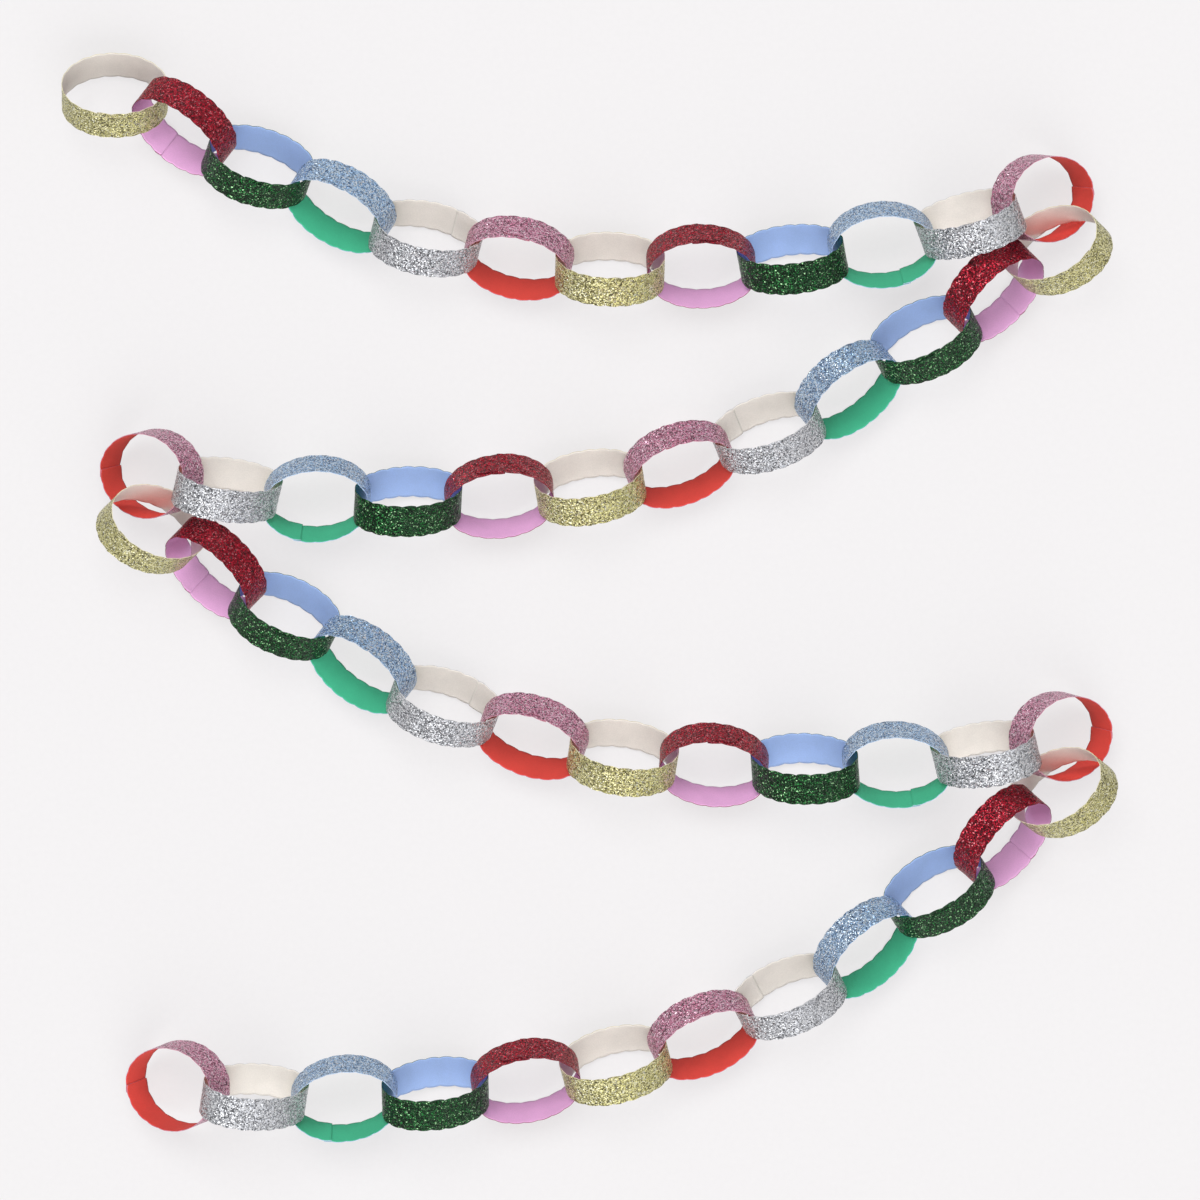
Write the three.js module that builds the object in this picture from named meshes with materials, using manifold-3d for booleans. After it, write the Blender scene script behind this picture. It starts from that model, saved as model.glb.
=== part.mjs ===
// Paper chain garland: one continuous chain of 48 interlocked links, laid out flat in four rows.
// Every link is one strip of double-sided card with scalloped long edges. The strip is closed into
// an oval ring: its rounded tab is lapped over the outside of its straight end and glued there.
//
// Millimetres. +Z is up and Z = 0 is the surface the garland lies on. The origin is at the middle
// of the footprint. The rows run along X, and +Y points from the last row to the first.

import * as THREE from 'three';
import Module from 'manifold-3d';

const wasm = await Module();
wasm.setup();
const { Manifold, Mesh } = wasm;

// ---- the strip ---------------------------------------------------------------------------------

const STRIP_LENGTH = 200;
const STRIP_WIDTH = 22;
const CARD = 0.4;
const LAP = 20;
const GIRTH = STRIP_LENGTH - LAP;

const SCALLOPS = 20;
const SCALLOP_PITCH = GIRTH / SCALLOPS;
const SCALLOP_DEPTH = 0.8;
const SCALLOP_RADIUS = SCALLOP_PITCH ** 2 / (8 * SCALLOP_DEPTH) + SCALLOP_DEPTH / 2;

const TAB_RADIUS = 8;
const GLUE_BITE = 0.15;
const CUT = 0.1;
const WELD = 0.01;

// ---- the cards, in the order they repeat along the chain -----------------------------------------

const CARDS = [
  { name: 'gold', color: 0xc9c385, roughness: 0.45, metalness: 0.35 },
  { name: 'red', color: 0x8c1420, roughness: 0.4, metalness: 0.35 },
  { name: 'green', color: 0x174a26, roughness: 0.4, metalness: 0.35 },
  { name: 'blue', color: 0x8faccb, roughness: 0.45, metalness: 0.35 },
  { name: 'silver', color: 0xb4b6ba, roughness: 0.4, metalness: 0.45 },
  { name: 'pink', color: 0xb97f94, roughness: 0.45, metalness: 0.35 },
];

// ---- how the links lie ---------------------------------------------------------------------------

// One row of twelve links. x, y: the middle of the link, measured from the row's first link.
// heading: the way the chain runs there. lean: how far the ring is tipped over, + towards +Y.
// turn: how far the long axis is turned within the ring. oval: 0 is round. lift: clear of the
// surface, resting on its neighbours. seam: where the straight end of the strip is, measured round
// from the long axis. wind: which way the tab goes on from there. Millimetres and degrees.
const ROW = [
  { x: 0, y: 0, heading: -2, lean: 39, turn: 1, oval: 0.13, lift: 4.5, seam: 249, wind: 1 },
  { x: 42.5, y: -19, heading: -36, lean: -55, turn: -8, oval: 0.14, lift: 1.5, seam: 274, wind: -1 },
  { x: 88, y: -44, heading: -22, lean: 46, turn: 9, oval: 0.17, lift: 0, seam: 253, wind: 1 },
  { x: 139, y: -68, heading: -31, lean: -46, turn: 0, oval: 0.17, lift: 1, seam: 95, wind: 1 },
  { x: 191.5, y: -88, heading: -15, lean: 50, turn: 9, oval: 0.19, lift: 1.5, seam: 54, wind: -1 },
  { x: 248, y: -100, heading: -13, lean: -40, turn: 1, oval: 0.17, lift: 0.5, seam: 79, wind: 1 },
  { x: 304.5, y: -107, heading: -2, lean: 52, turn: 1, oval: 0.17, lift: 1, seam: 284, wind: -1 },
  { x: 361, y: -105, heading: 3, lean: -34, turn: -3, oval: 0.17, lift: 2, seam: 103, wind: -1 },
  { x: 417, y: -101, heading: 11, lean: 59, turn: -18, oval: 0.17, lift: 2.5, seam: 273, wind: 1 },
  { x: 472.5, y: -92, heading: 12, lean: -28, turn: -10, oval: 0.15, lift: 10.5, seam: 294, wind: 1 },
  { x: 526, y: -79.5, heading: 21, lean: 66, turn: -26, oval: 0.17, lift: 9.5, seam: 291, wind: -1 },
  { x: 571, y: -63.5, heading: 82, lean: -35, turn: -73, oval: 0.09, lift: 0, seam: 4, wind: -1 },
];

// A later row starts in the last link of the row before, which holds its first link another way.
const ROW_START = { x: 1, y: 0, heading: -41, lean: 40, turn: 40, oval: 0.14, lift: 7.5, seam: 210, wind: 1 };

// The four rows: the second and fourth are mirror images. x, y: where the row is measured from.
const ROWS = [
  { side: 1, turn: 0, x: 0, y: 0 },
  { side: -1, turn: 7.5, x: 580.5, y: -95.5 },
  { side: 1, turn: -6.5, x: 22, y: -267 },
  { side: -1, turn: 12, x: 584, y: -429 },
];

const degrees = THREE.MathUtils.degToRad;

// ---- the oval ring -------------------------------------------------------------------------------

// A point beside the oval, `along` millimetres round it from `start` degrees and `offset` outwards.
function besideOval(oval, start, along, offset) {
  const mean = GIRTH / (2 * Math.PI * (1 + oval ** 2 / 4));
  const round = degrees(start) + (2 * Math.PI * along) / GIRTH;
  const angle = round + (oval / 2) * Math.sin(2 * round);
  const long = mean * (1 + oval);
  const short = mean * (1 - oval);
  const normal = new THREE.Vector2(short * Math.cos(angle), long * Math.sin(angle)).normalize();
  return new THREE.Vector2(long * Math.cos(angle), short * Math.sin(angle)).addScaledVector(normal, offset);
}

// Half the width of the strip: a row of shallow round scallops, with a valley at each pitch.
function scalloped(along) {
  const fromTip = THREE.MathUtils.euclideanModulo(along, SCALLOP_PITCH) - SCALLOP_PITCH / 2;
  return STRIP_WIDTH / 2 - SCALLOP_RADIUS + Math.sqrt(SCALLOP_RADIUS ** 2 - fromTip ** 2);
}

// Half the width of the tab: straight sides and a half-round end.
function tabbed(along) {
  const intoRound = Math.max(0, along - (LAP - TAB_RADIUS));
  return Math.sqrt(TAB_RADIUS ** 2 - intoRound ** 2);
}

// The strip climbs one card thickness on its way round, from beside the lap to on top of it.
function climb(along) {
  return CARD * THREE.MathUtils.clamp((along - LAP) / (GIRTH - LAP), 0, 1);
}

// A closed band swept through a list of sections, each { along, half, inner, outer }.
function band(oval, start, sections) {
  const corners = [];
  for (const { along, half, inner, outer } of sections) {
    const inside = besideOval(oval, start, along, inner);
    const outside = besideOval(oval, start, along, outer);
    corners.push(inside.x, inside.y, -half, outside.x, outside.y, -half);
    corners.push(outside.x, outside.y, half, inside.x, inside.y, half);
  }
  const faces = [0, 1, 2, 0, 2, 3];
  for (let section = 0; section < sections.length - 1; section += 1) {
    for (let corner = 0; corner < 4; corner += 1) {
      const here = 4 * section + corner;
      const beside = 4 * section + ((corner + 1) % 4);
      faces.push(here, here + 4, beside + 4, here, beside + 4, beside);
    }
  }
  const last = 4 * (sections.length - 1);
  faces.push(last, last + 2, last + 1, last, last + 3, last + 2);
  return new Manifold(new Mesh({
    numProp: 3,
    vertProperties: Float32Array.from(corners),
    triVerts: Uint32Array.from(faces),
  }));
}

// The plain run of the strip, from its straight end to half a scallop short of a full turn.
function runSections() {
  const sections = [];
  for (let along = 0; along <= GIRTH - SCALLOP_PITCH / 2; along += SCALLOP_PITCH / 2) {
    const middle = climb(along);
    sections.push({ along, half: scalloped(along), inner: middle - CARD / 2, outer: middle + CARD / 2 });
  }
  return sections;
}

// The lapped end: the last scallop, the shoulders and the tab, glued on over the straight end.
function lapSections() {
  const sections = [];
  const join = GIRTH - SCALLOP_PITCH / 2;
  const middle = climb(join);
  sections.push({ along: join, half: scalloped(join), inner: middle - CARD / 2, outer: middle + CARD / 2 });
  const glued = { inner: CARD / 2 - GLUE_BITE, outer: CARD * 1.5 };
  for (const along of [0, SCALLOP_PITCH / 2]) {
    sections.push({ along: GIRTH + along, half: scalloped(along) - CUT, ...glued });
  }
  for (const along of [SCALLOP_PITCH / 2 + CUT, 9, 13.5, 18, 19.6]) {
    sections.push({ along: GIRTH + along, half: tabbed(along), ...glued });
  }
  return sections;
}

// One closed link about its own middle. `wind` and `side` of -1 give its mirror images.
function ring({ oval, seam, wind }, side) {
  const start = wind * seam;
  let solid = band(oval, start, runSections()).add(band(oval, start, lapSections()));
  if (wind < 0) {
    solid = solid.mirror([0, 1, 0]);
  }
  if (side < 0) {
    solid = solid.mirror([1, 0, 0]);
  }
  return solid.simplify(WELD);
}

function geometryOf(solid) {
  const mesh = solid.getMesh();
  const geometry = new THREE.BufferGeometry();
  geometry.setAttribute('position', new THREE.BufferAttribute(Float32Array.from(mesh.vertProperties), 3));
  geometry.setIndex(new THREE.BufferAttribute(Uint32Array.from(mesh.triVerts), 1));
  geometry.computeVertexNormals();
  return geometry;
}

// ---- the garland ---------------------------------------------------------------------------------

// A link in its place along the row, tipped and turned, with its lowest point at its lift.
function placedLink(link, card, number, side) {
  const material = new THREE.MeshStandardMaterial({
    color: card.color,
    roughness: card.roughness,
    metalness: card.metalness,
    name: `glitter_${card.name}`,
  });
  const mesh = new THREE.Mesh(geometryOf(ring(link, side)), material);
  mesh.name = `link_${String(number).padStart(2, '0')}_${card.name}`;
  mesh.rotation.z = side * degrees(link.turn);

  const tipped = new THREE.Group();
  tipped.rotation.x = -degrees(link.lean);
  tipped.add(mesh);

  const placed = new THREE.Group();
  placed.rotation.z = side * degrees(link.heading);
  placed.add(tipped);
  placed.position.z = link.lift - new THREE.Box3().setFromObject(placed, true).min.z;
  placed.position.x = side * link.x;
  placed.position.y = link.y;
  return placed;
}

const garland = new THREE.Group();
garland.name = 'paper_chain_garland';

ROWS.forEach((row, rowIndex) => {
  const group = new THREE.Group();
  group.name = `row_${rowIndex + 1}`;
  const links = rowIndex === 0 ? ROW : [ROW_START, ...ROW.slice(1)];
  links.forEach((link, index) => {
    const number = rowIndex * ROW.length + index + 1;
    group.add(placedLink(link, CARDS[index % CARDS.length], number, row.side));
  });
  group.rotation.z = degrees(row.turn);
  group.position.set(row.x, row.y, 0);
  garland.add(group);
});

const middle = new THREE.Box3().setFromObject(garland, true).getCenter(new THREE.Vector3());
garland.position.set(-middle.x, -middle.y, 0);

export default garland;
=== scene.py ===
"""The looks of the paper chain garland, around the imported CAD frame. Metres, +Z up."""

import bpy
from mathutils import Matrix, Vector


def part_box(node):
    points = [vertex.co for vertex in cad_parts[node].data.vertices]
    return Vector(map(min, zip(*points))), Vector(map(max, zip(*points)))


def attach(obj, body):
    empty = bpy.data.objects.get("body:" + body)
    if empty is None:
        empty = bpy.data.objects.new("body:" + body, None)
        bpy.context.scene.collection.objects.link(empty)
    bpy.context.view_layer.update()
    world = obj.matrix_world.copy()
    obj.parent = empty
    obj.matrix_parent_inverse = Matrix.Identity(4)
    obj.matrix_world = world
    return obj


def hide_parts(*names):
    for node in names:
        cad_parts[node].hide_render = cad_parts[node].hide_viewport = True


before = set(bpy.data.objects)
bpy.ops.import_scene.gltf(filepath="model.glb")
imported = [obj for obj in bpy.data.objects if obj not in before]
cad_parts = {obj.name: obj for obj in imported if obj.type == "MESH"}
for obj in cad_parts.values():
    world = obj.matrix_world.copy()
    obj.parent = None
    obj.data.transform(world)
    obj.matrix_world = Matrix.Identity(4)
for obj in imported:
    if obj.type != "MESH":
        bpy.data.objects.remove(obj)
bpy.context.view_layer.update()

import math
from collections import namedtuple

import bpy
import numpy as np
from mathutils import Matrix

# ---- the strip, as the CAD has it, in millimetres ------------------------------------------------

STRIP_LENGTH = 200.0
STRIP_WIDTH = 22.0
CARD = 0.4
LAP = 20.0
GIRTH = STRIP_LENGTH - LAP
SCALLOP_PITCH = GIRTH / 20
SCALLOP_DEPTH = 0.8
SCALLOP_RADIUS = SCALLOP_PITCH ** 2 / (8 * SCALLOP_DEPTH) + SCALLOP_DEPTH / 2
TAB_RADIUS = 8.0
SHOULDER = SCALLOP_PITCH / 2
CUT = 0.1

# ---- the finer shape that only shows here, in millimetres ----------------------------------------

STEPS_PER_SCALLOP = 8
STEPS_ACROSS = 16
TAB_STEPS = 11
ROUND_END_LENGTH = 3
ROUND_END_DEGREES = [48, 56, 64, 72, 79, 84.5]

LAP_CLEARANCE = 0.03    # the tab stands this much further out than in the CAD
EMBOSS = 0.16           # how deep the tab's outline is pressed through the straight end
EMBOSS_EDGE = 0.9       # how wide the slope round that outline is
END_LIFT = 0.3          # how far the corners of the straight end curl inwards
END_LIFT_REACH = 5      # how quickly that curl dies away along the strip
EDGE_FLARE = 0.12       # how far the long edges flare outwards
FLARE_BALANCE = 0.3     # lowers the middle of the strip, so that it flares both ways
WAVES = 3, 0.07         # a strip closed by hand: bulges in a turn, and their height
RIPPLES = 7, 0.04
WAVE_SKEW = 0.5         # how much stronger the bulges are at one edge than in the middle
GRAIN = 0.11            # height of the glitter's grain
GRAIN_SHIFT = 0.2       # how far the grain is scattered along and across the strip
BARE_END = 0.5          # the cut ends, and the outermost line of each edge, have no grain
BARE_EDGE = 0.99

# ---- how the links lie, as in the CAD ------------------------------------------------------------

CARDS = ("gold", "red", "green", "blue", "silver", "pink")

Link = namedtuple("Link", "heading lean turn oval seam wind")
ROW = [
    Link(-2, 39, 1, 0.13, 249, 1),
    Link(-36, -55, -8, 0.14, 274, -1),
    Link(-22, 46, 9, 0.17, 253, 1),
    Link(-31, -46, 0, 0.17, 95, 1),
    Link(-15, 50, 9, 0.19, 54, -1),
    Link(-13, -40, 1, 0.17, 79, 1),
    Link(-2, 52, 1, 0.17, 284, -1),
    Link(3, -34, -3, 0.17, 103, -1),
    Link(11, 59, -18, 0.17, 273, 1),
    Link(12, -28, -10, 0.15, 294, 1),
    Link(21, 66, -26, 0.17, 291, -1),
    Link(82, -35, -73, 0.09, 4, -1),
]
# the first link of a later row
ROW_START = Link(-41, 40, 40, 0.14, 210, 1)

Row = namedtuple("Row", "side turn")
ROWS = [Row(1, 0), Row(-1, 7.5), Row(1, -6.5), Row(-1, 12)]


# ---- the shape of a strip ------------------------------------------------------------------------


def scalloped(along):
    """Half the width of the strip: a row of shallow round scallops."""
    from_tip = np.mod(along, SCALLOP_PITCH) - SCALLOP_PITCH / 2
    return STRIP_WIDTH / 2 - SCALLOP_RADIUS + np.sqrt(SCALLOP_RADIUS ** 2 - from_tip ** 2)


def tabbed(along):
    """Half the width of the tab: straight sides and a half-round end."""
    into_round = np.maximum(0, along - (LAP - TAB_RADIUS))
    return np.sqrt(np.maximum(0, TAB_RADIUS ** 2 - into_round ** 2))


def smooth(value, low, high):
    """A soft step from 0 at `low` to 1 at `high`."""
    t = np.clip((value - low) / (high - low), 0, 1)
    return t * t * (3 - 2 * t)


def beside_oval(oval, start, along):
    """Points on the oval and their outward normals, `along` millimetres round from `start` degrees."""
    mean = GIRTH / (2 * math.pi * (1 + oval ** 2 / 4))
    turn = math.radians(start) + 2 * math.pi * along / GIRTH
    angle = turn + oval / 2 * np.sin(2 * turn)
    long, short = mean * (1 + oval), mean * (1 - oval)
    points = np.stack([long * np.cos(angle), short * np.sin(angle)], -1)
    normals = np.stack([short * np.cos(angle), long * np.sin(angle)], -1)
    return points, normals / np.linalg.norm(normals, axis=-1, keepdims=True)


def stations():
    """Distances along the strip: even ones round the ring, then through the shoulder and the tab."""
    shoulder = GIRTH + SHOULDER
    ring = np.arange(0, shoulder - CUT / 2, SCALLOP_PITCH / STEPS_PER_SCALLOP)
    tab = np.linspace(shoulder + CUT, STRIP_LENGTH - ROUND_END_LENGTH, TAB_STEPS)
    end = STRIP_LENGTH - TAB_RADIUS + TAB_RADIUS * np.sin(np.radians(ROUND_END_DEGREES))
    return np.concatenate([ring, [shoulder], tab, end])


def wave(along, waves, phase):
    count, height = waves
    return height * np.sin(2 * math.pi * along / GIRTH * count + phase)


def strip_surface(link, rng):
    """Grids of points of the outer (glitter) and inner (plain) faces of one closed strip."""
    along = stations()[:, None]
    across = np.linspace(-1, 1, STEPS_ACROSS + 1)[None, :]
    over = along > GIRTH
    on_tab = along > GIRTH + SHOULDER + CUT / 2
    half = np.where(on_tab, tabbed(np.maximum(along - GIRTH, 0)), scalloped(along) - CUT * over)
    height = across * half
    climb = CARD * np.clip((along - LAP) / (GIRTH - LAP), 0, 1) + LAP_CLEARANCE * over
    # the tab, on the far side of the straight end, shows through it as a low rounded outline
    tab_half = np.where(along < SHOULDER, STRIP_WIDTH, tabbed(np.minimum(along, LAP)))
    pressed = smooth(tab_half - np.abs(height), 0, EMBOSS_EDGE) * (along < LAP)
    curled = END_LIFT * np.abs(across) ** 4 * np.exp(-along / END_LIFT_REACH)
    middle = climb - EMBOSS * pressed - curled + EDGE_FLARE * (across ** 2 - FLARE_BALANCE)
    phase = rng.uniform(0, 2 * math.pi, 3)
    middle = middle + wave(along, WAVES, phase[0]) * (1 + WAVE_SKEW * across)
    middle = middle + wave(along, RIPPLES, phase[1])
    grained = (np.abs(across) < BARE_EDGE) & (along > BARE_END) & (along < STRIP_LENGTH - BARE_END)
    grain = GRAIN * rng.uniform(-1, 1, middle.shape) * grained
    shift = GRAIN_SHIFT * rng.uniform(-1, 1, (2,) + middle.shape) * grained

    def surface(offset, slide, rise):
        points, normals = beside_oval(link.oval, link.wind * link.seam, along + slide)
        flat = points + normals * offset[..., None]
        return np.concatenate([flat, (height + rise)[..., None]], -1)

    level = np.zeros_like(middle)
    return surface(middle + CARD / 2 + grain, *shift), surface(middle - CARD / 2, level, level)


def strip_faces(count, width):
    """The faces between two grids of `count` by `width` points, and 0, 1 or 2 for each one:
    outside, inside or cut edge."""
    outer = np.arange(count * width).reshape(count, width)
    inner = outer + count * width
    groups = [
        [(outer[:-1, :-1], outer[1:, :-1], outer[1:, 1:], outer[:-1, 1:])],
        [(inner[:-1, :-1], inner[:-1, 1:], inner[1:, 1:], inner[1:, :-1])],
        [
            (inner[:-1, 0], inner[1:, 0], outer[1:, 0], outer[:-1, 0]),
            (outer[:-1, -1], outer[1:, -1], inner[1:, -1], inner[:-1, -1]),
            (outer[0, :-1], outer[0, 1:], inner[0, 1:], inner[0, :-1]),
            (inner[-1, :-1], inner[-1, 1:], outer[-1, 1:], outer[-1, :-1]),
        ],
    ]
    faces = [
        np.concatenate([np.stack(corners, -1).reshape(-1, 4) for corners in group])
        for group in groups
    ]
    kinds = np.concatenate([np.full(len(group), kind) for kind, group in enumerate(faces)])
    return np.concatenate(faces), kinds


def link_turn(link, row):
    """The rotation of one link, as its row, its heading, its lean and its turn give it."""
    return np.array(
        Matrix.Rotation(math.radians(row.turn + row.side * link.heading), 3, "Z")
        @ Matrix.Rotation(-math.radians(link.lean), 3, "X")
        @ Matrix.Rotation(row.side * math.radians(link.turn), 3, "Z")
    )


def link_mesh(name, link, row, node, seed):
    """The mesh of one link, in its CAD node's place and inside that node's box."""
    outer, inner = strip_surface(link, np.random.default_rng(seed))
    points = np.concatenate([outer.reshape(-1, 3), inner.reshape(-1, 3)]) * 0.001
    points[:, 1] *= link.wind
    points[:, 0] *= row.side
    points = points @ link_turn(link, row).T
    low, high = (np.array(corner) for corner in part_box(node))
    points += (low + high) / 2 - (points.min(0) + points.max(0)) / 2
    points = np.clip(points, low, high)
    faces, kinds = strip_faces(*outer.shape[:2])
    if link.wind * row.side < 0:
        faces = faces[:, ::-1]
    mesh = bpy.data.meshes.new(name)
    mesh.from_pydata(points.tolist(), [], faces.tolist())
    mesh.polygons.foreach_set("material_index", kinds.astype(np.int32))
    mesh.polygons.foreach_set("use_smooth", kinds == 1)
    mesh.update()
    return mesh


# ---- materials -----------------------------------------------------------------------------------

FLAKE_SCALE = 1400.0    # glitter flakes to the metre
FINE_SCALE = 3000.0     # the finer flakes between them
FINE_SHARE = 0.28
FLAKE_TILT = 0.9
FLAKE_METAL = 0.6
CARD_ROUGHNESS = 0.78
CARD_SPECULAR = 0.3


def linear(red, green, blue):
    """A colour given as 0 to 255 on each channel."""
    def channel(value):
        return ((value / 255 + 0.055) / 1.055) ** 2.4 if value > 10 else value / 255 / 12.92
    return channel(red), channel(green), channel(blue), 1


def add(tree, kind, settings=(), **inputs):
    """A node with its settings and inputs. An input goes by its name, or by its number as i0, i1
    and so on: a socket is linked to it, and any other value sets it."""
    made = tree.nodes.new(kind)
    for key, value in dict(settings).items():
        setattr(made, key, value)
    for key, value in inputs.items():
        numbered = key[0] == "i" and key[1:].isdigit()
        socket = made.inputs[int(key[1:]) if numbered else key.replace("_", " ")]
        if isinstance(value, bpy.types.NodeSocket):
            tree.links.new(value, socket)
        else:
            socket.default_value = value
    return made


def object_place(tree):
    return add(tree, "ShaderNodeTexCoord").outputs["Object"]


def channels(tree, colour):
    return add(tree, "ShaderNodeSeparateColor", Color=colour).outputs


def remap(tree, value, source, target):
    """A value carried from the range `source` to the range `target`, and held inside it."""
    return add(
        tree, "ShaderNodeMapRange", Value=value,
        From_Min=source[0], From_Max=source[1], To_Min=target[0], To_Max=target[1],
    ).outputs[0]


def mix(tree, blend, factor, first, second):
    """Two colours mixed. On this node the colours are inputs 6 and 7 and output 2."""
    settings = {"data_type": "RGBA", "blend_type": blend}
    return add(tree, "ShaderNodeMix", settings, i0=factor, i6=first, i7=second).outputs[2]


def vector_math(tree, operation, **inputs):
    return add(tree, "ShaderNodeVectorMath", {"operation": operation}, **inputs).outputs[0]


def ramp(tree, factor, stops):
    made = add(tree, "ShaderNodeValToRGB", Fac=factor)
    while len(made.color_ramp.elements) < len(stops):
        made.color_ramp.elements.new(0.5)
    for element, (place, colour) in zip(made.color_ramp.elements, stops):
        element.position = place
        element.color = colour
    return made.outputs["Color"]


def new_material(name):
    material = bpy.data.materials.new(name)
    material.use_nodes = True
    material.node_tree.nodes.clear()
    return material, material.node_tree


def glitter(name, painted_shade, middle, light, painted_glint, bright):
    """Fine glitter glued on card: flakes under a millimetre across, each with its own tilt and a base
    colour picked at random from a ramp of tones. The darkest tone is painted shade, and the lightest
    tones are painted highlights and painted glints.

    `bright` is the share of the flakes painted as lit, with painted highlights and painted glints.
    """
    material, tree = new_material(name)
    place = object_place(tree)
    flakes = add(tree, "ShaderNodeTexVoronoi", Vector=place, Scale=FLAKE_SCALE).outputs
    fine = add(tree, "ShaderNodeTexVoronoi", Vector=place, Scale=FINE_SCALE).outputs
    speck = channels(tree, fine["Color"])
    # the ramp paints flakes in shade and lit flakes into the base colour: painted shade, painted
    # highlights and painted glints
    edge = 1 - bright
    stops = [
        (0.0, painted_shade), (0.4 * edge, painted_shade), (0.5 * edge, middle), (edge, middle),
        (edge + 0.2 * bright, light), (edge + 0.75 * bright, light), (edge + 0.85 * bright, painted_glint),
    ]
    colour = ramp(tree, channels(tree, flakes["Color"])["Red"], stops)
    mixed = mix(tree, "MIX", FINE_SHARE, colour, ramp(tree, speck["Green"], stops))
    gaps = remap(tree, flakes["Distance"], (0.45, 0.85), (1.0, 0.45))
    shaded = mix(tree, "MULTIPLY", 1.0, mixed, gaps)
    centred = vector_math(tree, "SUBTRACT", i0=flakes["Color"], i1=(0.5, 0.5, 0.5))
    tilted = vector_math(tree, "SCALE", i0=centred, Scale=FLAKE_TILT)
    normal = add(tree, "ShaderNodeNewGeometry").outputs["Normal"]
    facing = vector_math(tree, "NORMALIZE", i0=vector_math(tree, "ADD", i0=normal, i1=tilted))
    shader = add(
        tree, "ShaderNodeBsdfPrincipled", Base_Color=shaded, Metallic=FLAKE_METAL,
        Roughness=remap(tree, speck["Blue"], (0, 1), (0.22, 0.5)), Normal=facing,
    )
    add(tree, "ShaderNodeOutputMaterial", Surface=shader.outputs[0])
    return material


def plain_card(name, colour, grain):
    """Uncoated card: matt, very slightly mottled, with a fine fibre grain."""
    material, tree = new_material(name)
    place = object_place(tree)
    mottle = add(tree, "ShaderNodeTexNoise", Vector=place, Scale=70.0, Detail=3.0).outputs["Fac"]
    fibre = add(
        tree, "ShaderNodeTexNoise", Vector=place, Scale=1400.0, Detail=4.0, Roughness=0.7,
    ).outputs["Fac"]
    blotch = remap(tree, mottle, (0.3, 0.7), (0.95, 1.04))
    thread = remap(tree, fibre, (0.3, 0.7), (0.93, 1.05))
    both = add(tree, "ShaderNodeMath", {"operation": "MULTIPLY"}, i0=blotch, i1=thread)
    bump = add(tree, "ShaderNodeBump", Strength=grain, Distance=0.0003, Height=fibre)
    shader = add(
        tree, "ShaderNodeBsdfPrincipled", Roughness=CARD_ROUGHNESS, Specular_IOR_Level=CARD_SPECULAR,
        Base_Color=mix(tree, "MULTIPLY", 1.0, colour, both.outputs[0]), Normal=bump.outputs[0],
    )
    add(tree, "ShaderNodeOutputMaterial", Surface=shader.outputs[0])
    return material


# for each card: the flakes in painted shade, most flakes, the bright ones (painted highlight) and
# their sparkles (painted glints), and how many are painted bright
FLAKES = {
    "gold": ((62, 52, 12), (194, 188, 118), (252, 246, 188), (255, 255, 236), 0.4),
    "red": ((24, 0, 4), (140, 2, 30), (228, 26, 60), (255, 150, 160), 0.3),
    "green": ((0, 6, 2), (0, 50, 18), (36, 134, 60), (196, 255, 190), 0.2),
    "blue": ((44, 80, 122), (162, 200, 240), (224, 242, 255), (255, 255, 255), 0.4),
    "silver": ((62, 64, 70), (188, 190, 196), (242, 244, 248), (255, 255, 255), 0.4),
    "pink": ((52, 0, 24), (214, 128, 162), (255, 204, 226), (255, 244, 250), 0.4),
}
BACKS = {
    "gold": ("cream", (242, 236, 227)),
    "red": ("lilac", (240, 182, 230)),
    "green": ("periwinkle", (166, 194, 242)),
    "blue": ("mint", (72, 194, 150)),
    "silver": ("cream", (242, 236, 227)),
    "pink": ("coral", (228, 76, 66)),
}
CORES = {
    "gold": (222, 214, 180),
    "red": (130, 40, 56),
    "green": (44, 84, 58),
    "blue": (176, 198, 226),
    "silver": (214, 214, 216),
    "pink": (200, 140, 160),
}
BACK_GRAIN = 0.12
CUT_GRAIN = 0.3


def card_materials(card):
    """The three materials of one card, in the order of the strip's faces."""
    *shades, bright = FLAKES[card]
    tone, back = BACKS[card]
    return (
        glitter(f"{card}_glitter", *(linear(*shade) for shade in shades), bright),
        plain_card(f"{card}_inside_{tone}", linear(*back), BACK_GRAIN),
        plain_card(f"{card}_cut_edge", linear(*CORES[card]), CUT_GRAIN),
    )


MATERIALS = {card: card_materials(card) for card in CARDS}

# ---- the links -----------------------------------------------------------------------------------


def make_link(number, link, row):
    card = CARDS[(number - 1) % len(CARDS)]
    node = f"link_{number:02d}_{card}"
    mesh = link_mesh(f"strip_{number:02d}_{card}", link, row, node, seed=number)
    for material in MATERIALS[card]:
        mesh.materials.append(material)
    piece = bpy.data.objects.new(mesh.name, mesh)
    bpy.context.collection.objects.link(piece)
    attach(piece, "root")
    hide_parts(node)


for row_number, row in enumerate(ROWS):
    first = ROW[0] if row_number == 0 else ROW_START
    for place, link in enumerate([first] + ROW[1:], start=1):
        make_link(row_number * len(ROW) + place, link, row)

# ---- floor, light and camera ---------------------------------------------------------------------

FLOOR_HALF = 6
FLOOR_DROP = 0.0002
FLOOR_GLOW = 0.725
FLOOR_COLOUR = linear(245, 243, 244)
FLOOR_DARK = 0.195, 0.192, 0.193, 1
FLOOR_LIGHT = 0.205, 0.202, 0.203, 1
ROOM_COLOUR = 1, 0.99, 0.995, 1
CAMERA_PLACE = 0.0065, -0.0016, 8.0
MIDDLE_HEIGHT = 0.03
SEEN_WIDTH = 0.73848    # of the plane at the garland's middle height
SENSOR = 36


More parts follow.
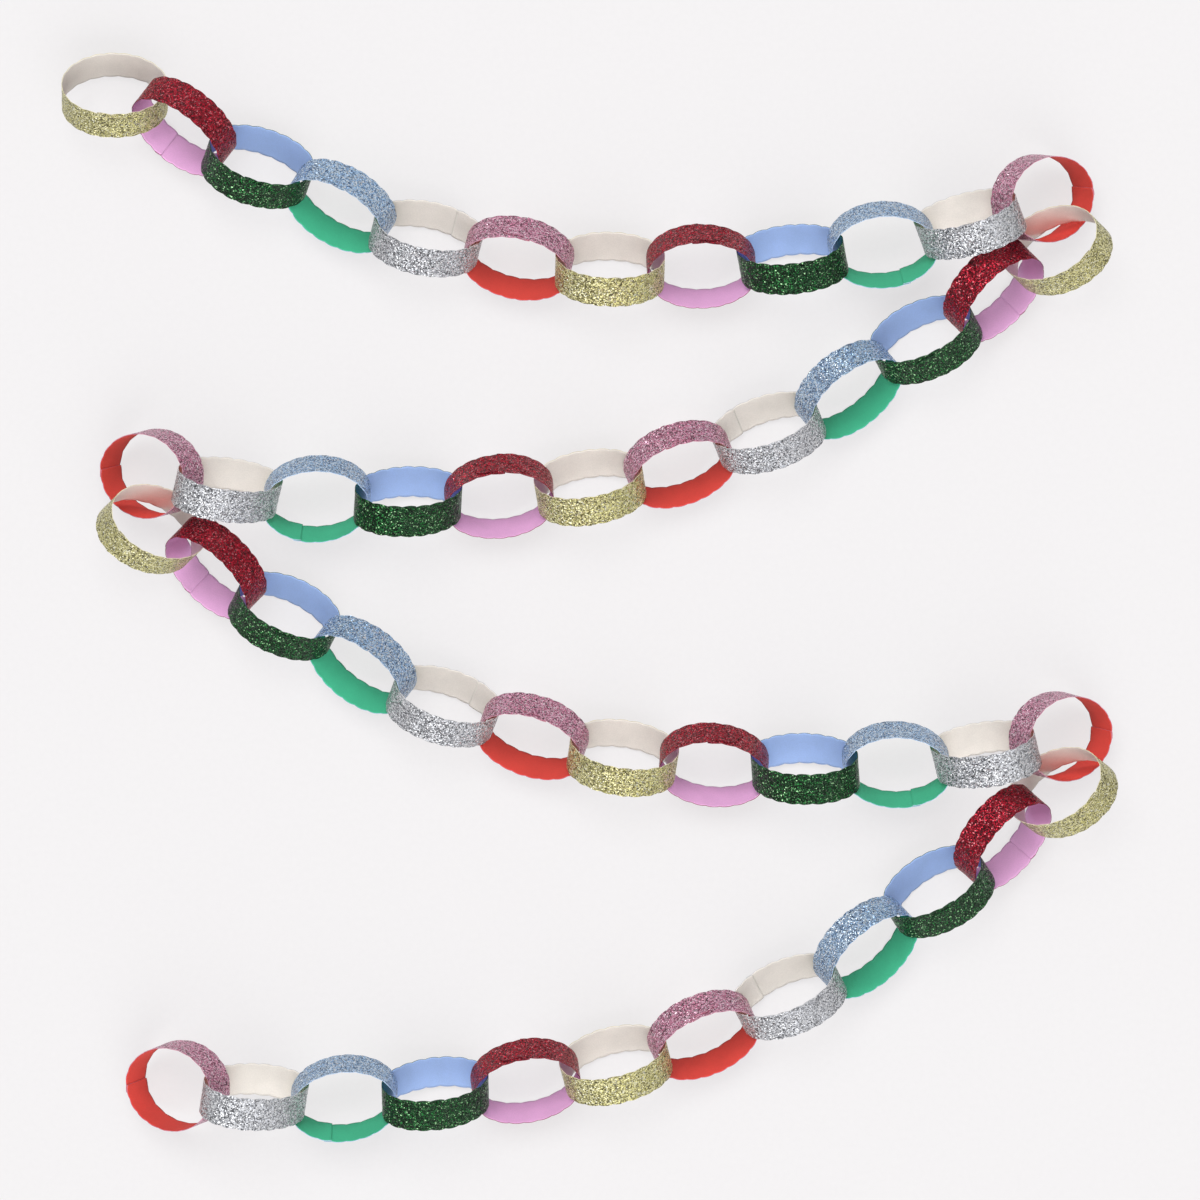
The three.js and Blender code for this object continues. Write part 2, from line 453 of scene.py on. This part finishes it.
def pale_floor():
    """A pale back-lit table, so that the shadows on it stay faint. It doesn't light the cards."""
    low, high = -FLOOR_HALF, FLOOR_HALF
    corners = [(low, low), (high, low), (high, high), (low, high)]
    mesh = bpy.data.meshes.new("floor")
    mesh.from_pydata([(x, y, -FLOOR_DROP) for x, y in corners], [], [(0, 1, 2, 3)])
    floor = bpy.data.objects.new("floor", mesh)
    bpy.context.collection.objects.link(floor)
    floor.visible_diffuse = False
    material, tree = new_material("pale_floor")
    grain = add(tree, "ShaderNodeTexNoise", Vector=object_place(tree), Scale=300.0).outputs["Fac"]
    shader = add(
        tree, "ShaderNodeBsdfPrincipled", Roughness=0.9, Specular_IOR_Level=0.0,
        Base_Color=ramp(tree, grain, [(0.3, FLOOR_DARK), (0.7, FLOOR_LIGHT)]),
        Emission_Color=FLOOR_COLOUR, Emission_Strength=FLOOR_GLOW,
    )
    add(tree, "ShaderNodeOutputMaterial", Surface=shader.outputs[0])
    mesh.materials.append(material)


def sun(name, strength, softness, tip, bearing):
    """A broad soft light, tipped from overhead towards a compass bearing (0 is +Y, 90 is +X)."""
    data = bpy.data.lights.new(name, "SUN")
    data.energy = strength
    data.angle = math.radians(softness)
    light = bpy.data.objects.new(name, data)
    light.rotation_euler = (math.radians(-tip), 0, math.radians(-bearing))
    bpy.context.collection.objects.link(light)


def soft_room():
    """Even light, bright overhead and dim below, so that the insides of the rings darken downwards."""
    world = bpy.data.worlds.new("studio")
    world.use_nodes = True
    tree = world.node_tree
    direction = add(tree, "ShaderNodeTexCoord").outputs["Generated"]
    height = add(tree, "ShaderNodeSeparateXYZ", Vector=direction).outputs["Z"]
    background = tree.nodes["Background"]
    background.inputs["Color"].default_value = ROOM_COLOUR
    tree.links.new(remap(tree, height, (-0.1, 0.5), (0.16, 0.52)), background.inputs["Strength"])
    bpy.context.scene.world = world


def overhead_camera():
    data = bpy.data.cameras.new("camera")
    data.sensor_width = SENSOR
    data.lens = SENSOR * (CAMERA_PLACE[2] - MIDDLE_HEIGHT) / SEEN_WIDTH
    camera = bpy.data.objects.new("camera", data)
    camera.location = CAMERA_PLACE
    bpy.context.collection.objects.link(camera)
    bpy.context.scene.camera = camera


pale_floor()
sun("key", strength=1.7, softness=40, tip=28, bearing=-20)
sun("fill", strength=1.6, softness=60, tip=50, bearing=165)
soft_room()
overhead_camera()
bpy.context.scene.view_settings.view_transform = "Standard"
